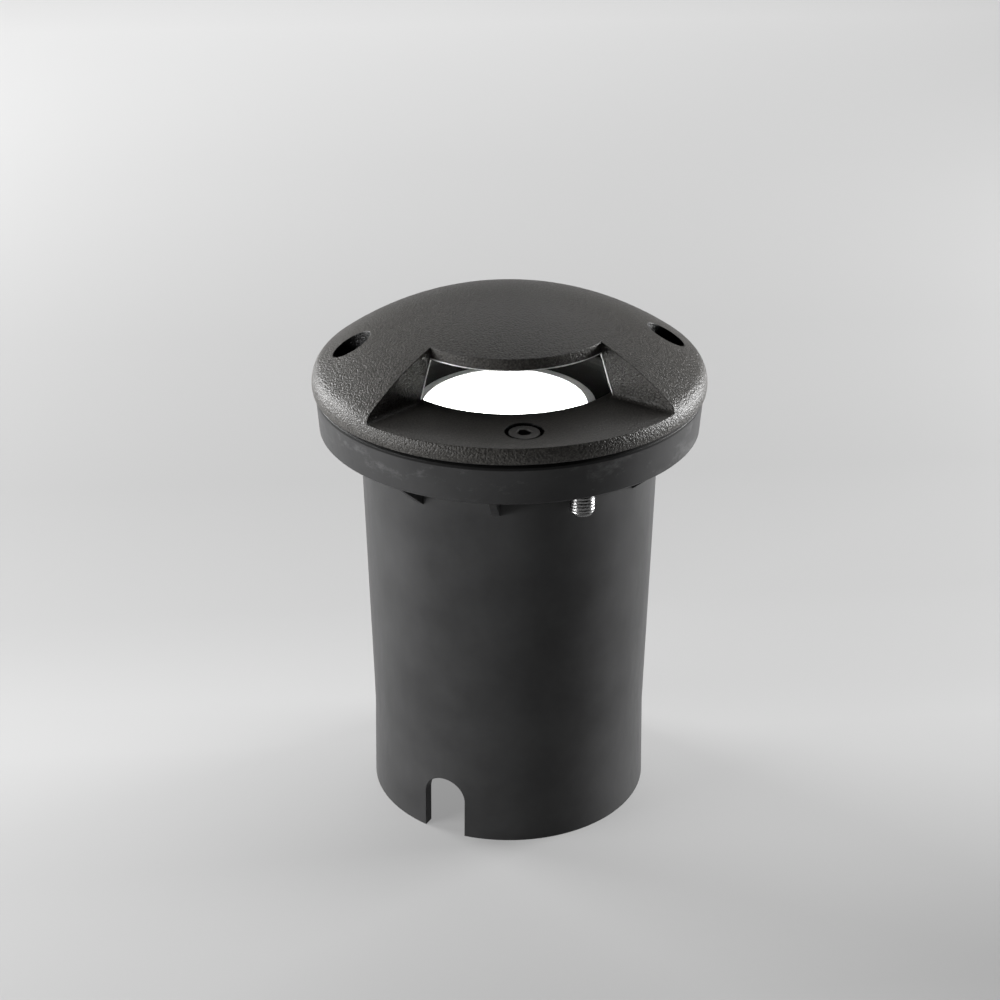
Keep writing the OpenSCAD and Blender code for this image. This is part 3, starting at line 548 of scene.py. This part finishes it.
def ribbed_bushings_tree():
    """Round bushings with fine ribs round them, a rounded lower end and a bore, stood on a circle."""
    sizes = ["Circle", "First", "Radius", "Low", "Height", "Rib Pitch", "Rib Depth", "Nose", "Bore"]
    tree = new_geometry_tree("ribbed_bushings", size_inputs(sizes, count=True))
    t = Tree(tree)
    given = t.add("NodeGroupInput").outputs
    plug = pillar(t, WIDE_SIDES, given["Radius"], given["Height"], 0.0, rings=RIB_STEPS)
    spot = t.split(t.add("GeometryNodeInputPosition").outputs[0])
    height = spot["Z"]

    wave = t.math("COSINE", t.math("MULTIPLY", t.math("DIVIDE", height, given["Rib Pitch"]), math.tau))
    groove = t.math("MULTIPLY", t.math("SUBTRACT", 0.5, t.math("MULTIPLY", wave, 0.5)), given["Rib Depth"])
    slim = t.math("SUBTRACT", 1.0, t.math("DIVIDE", groove, given["Radius"]))
    short = t.math("MAXIMUM", t.math("SUBTRACT", 1.0, t.math("DIVIDE", height, given["Nose"])), 0.0)
    arc = t.math("SQRT", t.math("SUBTRACT", 1.0, t.math("MULTIPLY", short, short), clamp=True))
    nose = t.math("ADD", NOSE_TIP, t.math("MULTIPLY", arc, 1 - NOSE_TIP))
    scale = t.math("MULTIPLY", slim, nose)
    shaped = t.vector(t.math("MULTIPLY", spot["X"], scale), t.math("MULTIPLY", spot["Y"], scale), height)
    ribbed = t.add("GeometryNodeSetPosition", Geometry=plug, Position=shaped).outputs[0]

    drill_height = t.math("MULTIPLY", given["Height"], 1 + 2 * DRILL_OVERHANG)
    drill_low = t.math("MULTIPLY", given["Height"], -DRILL_OVERHANG)
    drill = pillar(t, SLIM_SIDES, given["Bore"], drill_height, drill_low)
    points = places_on_circle(t, given["Count"], given["Circle"], given["Low"], given["First"])
    give_back_finished(t, copies(t, points, drilled(t, ribbed, drill), seed=3), given["Finish"])
    return tree


def painted_highlight_edge_tree():
    """Uneven thin white lines along the brow's lower edge and the cavity's two upright edges,
    painted highlights where the lamp's light catches them.
    """
    sizes = ["Half Angle", "Brow", "Brow Height", "Foot", "Foot Height", "Line"]
    tree = new_geometry_tree("painted_highlight_edges", size_inputs(sizes))
    t = Tree(tree)
    given = t.add("NodeGroupInput").outputs
    first = t.math("SUBTRACT", t.math("MULTIPLY", given["Half Angle"], -1.0), math.pi / 2)
    arc = t.add(
        "GeometryNodeCurveArc", {"mode": "RADIUS"}, Resolution=BROW_STEPS, Radius=given["Brow"],
        Start_Angle=first, Sweep_Angle=t.math("MULTIPLY", given["Half Angle"], 2.0)).outputs["Curve"]
    lift = t.vector(z=given["Brow Height"])
    brow = t.add("GeometryNodeTransform", Geometry=arc, Translation=lift).outputs[0]

    joined = t.add("GeometryNodeJoinGeometry")
    t.put(joined, 0, brow)
    for side in (-1.0, 1.0):
        angle = t.math("MULTIPLY", given["Half Angle"], side)
        ends = []
        for radius, height in ((given["Foot"], given["Foot Height"]), (given["Brow"], given["Brow Height"])):
            forward = t.math("MULTIPLY", t.math("COSINE", angle), radius)
            ends.append(t.vector(
                t.math("MULTIPLY", t.math("SINE", angle), radius), t.math("MULTIPLY", forward, -1.0), height))
        line = t.add("GeometryNodeCurvePrimitiveLine", Start=ends[0], End=ends[1]).outputs[0]
        t.put(joined, 0, t.add("GeometryNodeResampleCurve", Curve=line, Count=UPRIGHT_STEPS).outputs[0])

    # A fine and a broad noise together make the line come and go
    place = t.add("GeometryNodeInputPosition").outputs[0]
    uneven = t.add("ShaderNodeTexNoise", Vector=place, Scale=520.0, Detail=3.0).outputs["Fac"]
    broad = t.add("ShaderNodeTexNoise", Vector=place, Scale=90.0, Detail=1.0).outputs["Fac"]
    share = t.math("MULTIPLY", t.math("ADD", uneven, t.math("SUBTRACT", broad, 0.35)), 1.1, clamp=True)
    thick = t.math("MULTIPLY", t.math("MAXIMUM", share, LEAST_LINE), given["Line"])
    profile = t.add("GeometryNodeCurvePrimitiveCircle", {"mode": "RADIUS"}, Resolution=LINE_SIDES, Radius=1.0)
    bars = t.add(
        "GeometryNodeCurveToMesh", Curve=joined.outputs[0], Profile_Curve=profile.outputs["Curve"],
        Scale=thick, Fill_Caps=True)
    give_back_finished(t, bars.outputs[0], given["Finish"])
    return tree


def grown(name, tree, values):
    """Runs a Geometry Nodes tree with the given inputs and returns the result as a plain mesh object."""
    holder = bpy.data.objects.new(name + "_maker", bpy.data.meshes.new(name + "_maker"))
    bpy.context.collection.objects.link(holder)
    modifier = holder.modifiers.new("Make", "NODES")
    modifier.node_group = tree
    for item in tree.interface.items_tree:
        if item.in_out == "INPUT" and item.name in values:
            modifier[item.identifier] = values[item.name]
    evaluated = holder.evaluated_get(bpy.context.evaluated_depsgraph_get())
    mesh = bpy.data.meshes.new_from_object(evaluated)
    mesh.name = name
    bpy.data.objects.remove(holder)
    piece = bpy.data.objects.new(name, mesh)
    bpy.context.collection.objects.link(piece)
    if not mesh.polygons:
        raise RuntimeError(f"{name} came out empty")
    return piece


def round_edges(piece, width):
    """Adds a small live rounding to a piece's sharp edges."""
    bevel = piece.modifiers.new("Edge", "BEVEL")
    bevel.width = width
    bevel.segments = 2
    bevel.limit_method = "ANGLE"
    bevel.angle_limit = ROUNDED_ANGLE
    bevel.harden_normals = True


def smooth_by_angle_tree():
    """Joins a CAD node's loose triangles and shades its round faces smooth."""
    tree = new_geometry_tree("smooth_by_angle", [("Geometry", "NodeSocketGeometry")])
    t = Tree(tree)
    given = t.add("NodeGroupInput").outputs
    merged = t.add(
        "GeometryNodeMergeByDistance", Geometry=given["Geometry"], Distance=WELD_DISTANCE).outputs[0]
    faces = t.add(
        "GeometryNodeSetShadeSmooth", {"domain": "FACE"}, Geometry=merged, Shade_Smooth=True).outputs[0]
    soft = t.add("FunctionNodeCompare", {"operation": "LESS_THAN"})
    t.put(soft, 0, t.add("GeometryNodeInputMeshEdgeAngle").outputs["Unsigned Angle"])
    t.put(soft, 1, SMOOTH_ANGLE)
    edges = t.add(
        "GeometryNodeSetShadeSmooth", {"domain": "EDGE"}, Geometry=faces, Shade_Smooth=soft.outputs[0])
    give_back(t, edges.outputs[0])
    return tree


FINISHES = {}


def show_all(*node_names):
    """Gives carried-over CAD nodes their smooth shading and their finish."""
    tree = bpy.data.node_groups.get("smooth_by_angle") or smooth_by_angle_tree()
    for name in node_names:
        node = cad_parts[name]
        node.data.materials.clear()
        node.data.materials.append(FINISHES[FINISH_OF_NODE[name]])
        node.modifiers.new("Smooth", "NODES").node_group = tree


# Operators, one for each piece or group of like pieces

class WELLLIGHT_OT_finishes(Operator):
    """Make the finishes that the pieces share"""
    bl_idname = "well_light.finishes"
    bl_label = "Make Finishes"

    def execute(self, context):
        FINISHES.update(make_finishes())
        return {"FINISHED"}


class WELLLIGHT_OT_shells(Operator):
    """Dress the cap and the ground sleeve"""
    bl_idname = "well_light.shells"
    bl_label = "Dress Cap and Sleeve"

    def execute(self, context):
        show_all("cowl_cap", "ground_sleeve")
        return {"FINISHED"}


class WELLLIGHT_OT_screws(Operator):
    """Make the cap screws with their hexagon sockets"""
    bl_idname = "well_light.screws"
    bl_label = "Make Cap Screws"

    def execute(self, context):
        sizes = context.scene.well_light_screws
        top = SCREW_BOX[1].z
        piece = grown("cap_screw_set", socket_screws_tree(), {
            "Count": sizes.count, "Circle": sizes.circle, "Head": sizes.head,
            "Head Height": sizes.head_height, "Shank": sizes.shank, "Shank Length": sizes.shank_length,
            "Socket": sizes.socket, "Socket Depth": sizes.socket_depth, "Seat": top - sizes.head_height,
            "Finish": FINISHES["black_screw"],
        })
        round_edges(piece, sizes.edge)
        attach(piece, "fixture")
        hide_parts("cap_screws")
        return {"FINISHED"}


class WELLLIGHT_OT_window_edges(Operator):
    """Make the white lines painted as highlights along the window's inner edges"""
    bl_idname = "well_light.window_edges"
    bl_label = "Make Window Edges"

    def execute(self, context):
        sizes = context.scene.well_light_window_edges
        piece = grown("window_painted_highlight_edges", painted_highlight_edge_tree(), {
            "Half Angle": sizes.half_angle, "Brow": sizes.brow, "Brow Height": sizes.brow_height,
            "Foot": sizes.foot, "Foot Height": sizes.foot_height, "Line": sizes.line,
            "Finish": FINISHES["painted_highlight_edge"],
        })
        piece.data.shade_smooth()
        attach(piece, "fixture")
        return {"FINISHED"}


class WELLLIGHT_OT_seals(Operator):
    """Dress the rubber seals and the glass"""
    bl_idname = "well_light.seals"
    bl_label = "Dress Seals and Glass"

    def execute(self, context):
        show_all("rim_seal", "flange_gasket", "glass_gasket", "front_glass")
        return {"FINISHED"}


class WELLLIGHT_OT_lamp(Operator):
    """Dress the lamp that tilts, and light its disc"""
    bl_idname = "well_light.lamp"
    bl_label = "Dress Lamp"

    def execute(self, context):
        show_all(
            "lamp_diffuser", "lamp_bezel", "heat_sink", "led_board", "led_chips", "board_screws", "reflector",
            "tilt_pins", "swivel_ring", "retaining_ring")
        return {"FINISHED"}


class WELLLIGHT_OT_housing(Operator):
    """Dress the housing, the driver and the cable gland"""
    bl_idname = "well_light.housing"
    bl_label = "Dress Housing"

    def execute(self, context):
        show_all(
            "housing", "housing_screws", "driver_case", "driver_screws", "lamp_lead", "terminal_block",
            "terminal_screws", "earth_screw", "vent_plug", "gland_body", "gland_o_ring", "gland_locknut",
            "gland_seal", "gland_cap")
        return {"FINISHED"}


class WELLLIGHT_OT_bushings(Operator):
    """Make the ribbed bushings in the sleeve's flange"""
    bl_idname = "well_light.bushings"
    bl_label = "Make Bushings"

    def execute(self, context):
        sizes = context.scene.well_light_bushings
        low, high = INSERT_BOX
        piece = grown("flange_bushings", ribbed_bushings_tree(), {
            "Count": sizes.count, "Circle": sizes.circle, "First": sizes.first, "Radius": sizes.radius,
            "Low": low.z, "Height": high.z - low.z, "Rib Pitch": sizes.rib_pitch,
            "Rib Depth": sizes.rib_depth, "Nose": sizes.nose, "Bore": sizes.bore,
            "Finish": FINISHES["ribbed_steel"],
        })
        piece.data.shade_smooth()
        piece.data.set_sharp_from_angle(angle=RIB_ANGLE)
        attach(piece, "fixture")
        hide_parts("sleeve_inserts")
        return {"FINISHED"}


# The studio, in metres: X runs to the right, and Y away from the camera

# Name, azimuth from the front, elevation, distance, width, height and power of each lamp
SOFTBOXES = [
    ("left_rear_softbox", -125, 9, 1.25, 0.5, 0.5, 22),
    ("left_strip_softbox", -75, 5, 1.0, 0.6, 0.24, 12.5),
    ("right_strip_softbox", 105, 5, 1.0, 0.5, 0.24, 22.5),
    ("back_softbox", 180, 30, 2.0, 1.5, 0.8, 5),
    ("top_softbox", 150, 60, 2.2, 2.0, 2.0, 24),
]
LAMP_AIM = Vector((0, 0, 0.1))
FLOOR_REACH = 6.0

# Brightness that the sky lights the object with, and brightness at which the camera sees the backdrop
WORLD_LIGHT = 0.01
BACKDROP = 0.62

# Distance behind the object, and share of the floor's glow there
GLOW_STOPS = [
    (-0.13, 0.38), (-0.08, 0.52), (0.02, 0.72), (0.12, 0.46), (0.24, 0.33), (0.42, 0.38), (0.72, 0.62),
    (1.1, 1.0),
]
GLOW_START = -0.2
GLOW_REACH = 1.6

# Change of the glow per metre to the right, in front of the object and behind it, and how far it goes on
GLOW_SLOPE_FRONT = -0.5
GLOW_SLOPE_BEHIND = -0.14
GLOW_SLOPE_REACH = 0.5

# The part of the floor that the camera takes in: half its width, its growth with distance, and where the
# even backdrop has taken over beside it
STAGE_HALF = 0.22
STAGE_GROWTH = 0.3
STAGE_END = 0.5


def floor_paint(colour, glow):
    """Matt grey paper that the camera, metal and glass see brighter than it lights the object."""
    paint = Paint("studio_floor")
    spot = paint.split(paint.place)
    behind = paint.span(spot["Y"], 0, 1, start=GLOW_START, end=GLOW_START + GLOW_REACH)
    ramp = paint.add("ShaderNodeValToRGB", Fac=behind)
    stops = ramp.color_ramp.elements
    while len(stops) < len(GLOW_STOPS):
        stops.new(0.5)
    for stop, (distance, share) in zip(stops, GLOW_STOPS):
        stop.position = (distance - GLOW_START) / GLOW_REACH
        stop.color = (share, share, share, 1)
    slope = paint.span(spot["Y"], GLOW_SLOPE_FRONT, GLOW_SLOPE_BEHIND, start=-0.1, end=0.1)
    aside = paint.math("MAXIMUM", paint.math("MINIMUM", spot["X"], GLOW_SLOPE_REACH), -GLOW_SLOPE_REACH)
    pool = paint.math("MULTIPLY_ADD", aside, slope, paint.math("MULTIPLY", ramp.outputs["Color"], glow))
    path = paint.add("ShaderNodeLightPath").outputs
    mirrored = paint.math("MAXIMUM", path["Is Glossy Ray"], path["Is Transmission Ray"])
    seen = paint.math("MAXIMUM", path["Is Camera Ray"], mirrored)
    paint.finish(
        Base_Color=paint.blend(paint.span(paint.noise(3, detail=2), 0, 1), scaled(colour, 0.985), colour),
        Roughness=0.9,
        Specular_IOR_Level=0.1,
        Emission_Color=(1, 1, 1, 1),
        Emission_Strength=paint.math("MULTIPLY", seen, paint.math("MAXIMUM", pool, 0.0)))

    # Beside and in front of the object, near the lamps, the camera sees an evenly lit backdrop
    growth = paint.math("MULTIPLY", paint.math("MAXIMUM", spot["Y"], 0.0), STAGE_GROWTH)
    beside = paint.math("SUBTRACT", paint.math("ABSOLUTE", spot["X"]), growth)
    before = paint.math("MULTIPLY", spot["Y"], -1.0)
    off_stage = paint.span(paint.math("MAXIMUM", beside, before), 0, 1, start=STAGE_HALF, end=STAGE_END)
    even = paint.add("ShaderNodeEmission", Color=(1, 1, 1, 1), Strength=BACKDROP)
    floor = paint.add("ShaderNodeMixShader", Fac=paint.math("MULTIPLY", off_stage, path["Is Camera Ray"]))
    paint.put(floor, 1, paint.shader.outputs[0])
    paint.put(floor, 2, even.outputs[0])
    paint.put(paint.out, "Surface", floor.outputs[0])
    return paint.material


def direction(azimuth, elevation):
    """The direction at an angle round the axis from the front, and an angle over the floor."""
    level = math.cos(elevation)
    return Vector((math.sin(azimuth) * level, -math.cos(azimuth) * level, math.sin(elevation)))


def place_looking(data, aim, towards, distance):
    """Puts a lamp or camera at a distance from the point that it looks at."""
    holder = bpy.data.objects.new(data.name, data)
    holder.location = aim + towards * distance
    holder.rotation_euler = towards.to_track_quat("Z", "Y").to_euler()
    bpy.context.collection.objects.link(holder)
    return holder


class WELLLIGHT_OT_stage(Operator):
    """Make the floor, the lamps and the camera"""
    bl_idname = "well_light.stage"
    bl_label = "Make Studio"

    def execute(self, context):
        studio = context.scene.well_light_studio
        mesh = bpy.data.meshes.new("studio_floor")
        corners = [(x * FLOOR_REACH, y * FLOOR_REACH, 0) for x, y in ((-1, -1), (1, -1), (1, 1), (-1, 1))]
        mesh.from_pydata(corners, [], [(0, 1, 2, 3)])
        mesh.materials.append(floor_paint(studio.floor, studio.floor_glow))
        floor = bpy.data.objects.new("studio_floor", mesh)
        context.collection.objects.link(floor)

        world = bpy.data.worlds.new("studio_world")
        context.scene.world = world
        world.use_nodes = True
        sky = Tree(world.node_tree)
        light = world.node_tree.nodes["Background"]
        seen = sky.add("ShaderNodeLightPath").outputs["Is Camera Ray"]
        sky.put(light, "Color", (1, 1, 1, 1))
        sky.put(light, "Strength", sky.math("MULTIPLY_ADD", seen, BACKDROP, WORLD_LIGHT))

        for name, azimuth, elevation, distance, width, height, power in SOFTBOXES:
            lamp = bpy.data.lights.new(name, "AREA")
            lamp.shape = "RECTANGLE"
            lamp.size = width
            lamp.size_y = height
            lamp.energy = power
            place_looking(lamp, LAMP_AIM, direction(math.radians(azimuth), math.radians(elevation)), distance)

        camera = bpy.data.cameras.new("photo_camera")
        camera.sensor_width = 36
        camera.lens = studio.lens
        right = Vector((math.cos(studio.turn), math.sin(studio.turn), 0))
        aim = right * studio.aim_side + Vector((0, 0, studio.aim_height))
        context.scene.camera = place_looking(
            camera, aim, direction(studio.turn, studio.elevation), studio.distance)
        context.scene.view_settings.view_transform = "Standard"
        return {"FINISHED"}


class WELLLIGHT_PT_sidebar(Panel):
    """Lists the sizes, the finishes, the studio and the operators"""
    bl_label = "Well Light"
    bl_idname = "WELLLIGHT_PT_sidebar"
    bl_space_type = "VIEW_3D"
    bl_region_type = "UI"
    bl_category = "Well Light"

    def draw(self, context):
        layout = self.layout
        for key in GROUPS:
            group = getattr(context.scene, key)
            box = layout.box()
            for name in group.__annotations__:
                box.prop(group, name)
        for operator in OPERATORS:
            layout.operator(operator.bl_idname)


GROUPS = {
    "well_light_screws": ScrewSizes,
    "well_light_bushings": BushingSizes,
    "well_light_window_edges": WindowEdgeSizes,
    "well_light_finishes": Finishes,
    "well_light_studio": Studio,
}
OPERATORS = [
    WELLLIGHT_OT_finishes, WELLLIGHT_OT_shells, WELLLIGHT_OT_screws, WELLLIGHT_OT_bushings,
    WELLLIGHT_OT_window_edges, WELLLIGHT_OT_seals, WELLLIGHT_OT_lamp, WELLLIGHT_OT_housing,
    WELLLIGHT_OT_stage,
]


def register():
    for group in GROUPS.values():
        bpy.utils.register_class(group)
    for name, group in GROUPS.items():
        setattr(bpy.types.Scene, name, PointerProperty(type=group))
    for operator in OPERATORS:
        bpy.utils.register_class(operator)
    bpy.utils.register_class(WELLLIGHT_PT_sidebar)


def unregister():
    bpy.utils.unregister_class(WELLLIGHT_PT_sidebar)
    for operator in reversed(OPERATORS):
        bpy.utils.unregister_class(operator)
    for name, group in reversed(GROUPS.items()):
        delattr(bpy.types.Scene, name)
        bpy.utils.unregister_class(group)


def main():
    register()
    bpy.ops.well_light.finishes()
    bpy.ops.well_light.shells()
    bpy.ops.well_light.screws()
    bpy.ops.well_light.bushings()
    bpy.ops.well_light.window_edges()
    bpy.ops.well_light.seals()
    bpy.ops.well_light.lamp()
    bpy.ops.well_light.housing()
    bpy.ops.well_light.stage()


if __name__ == "__main__":
    main()
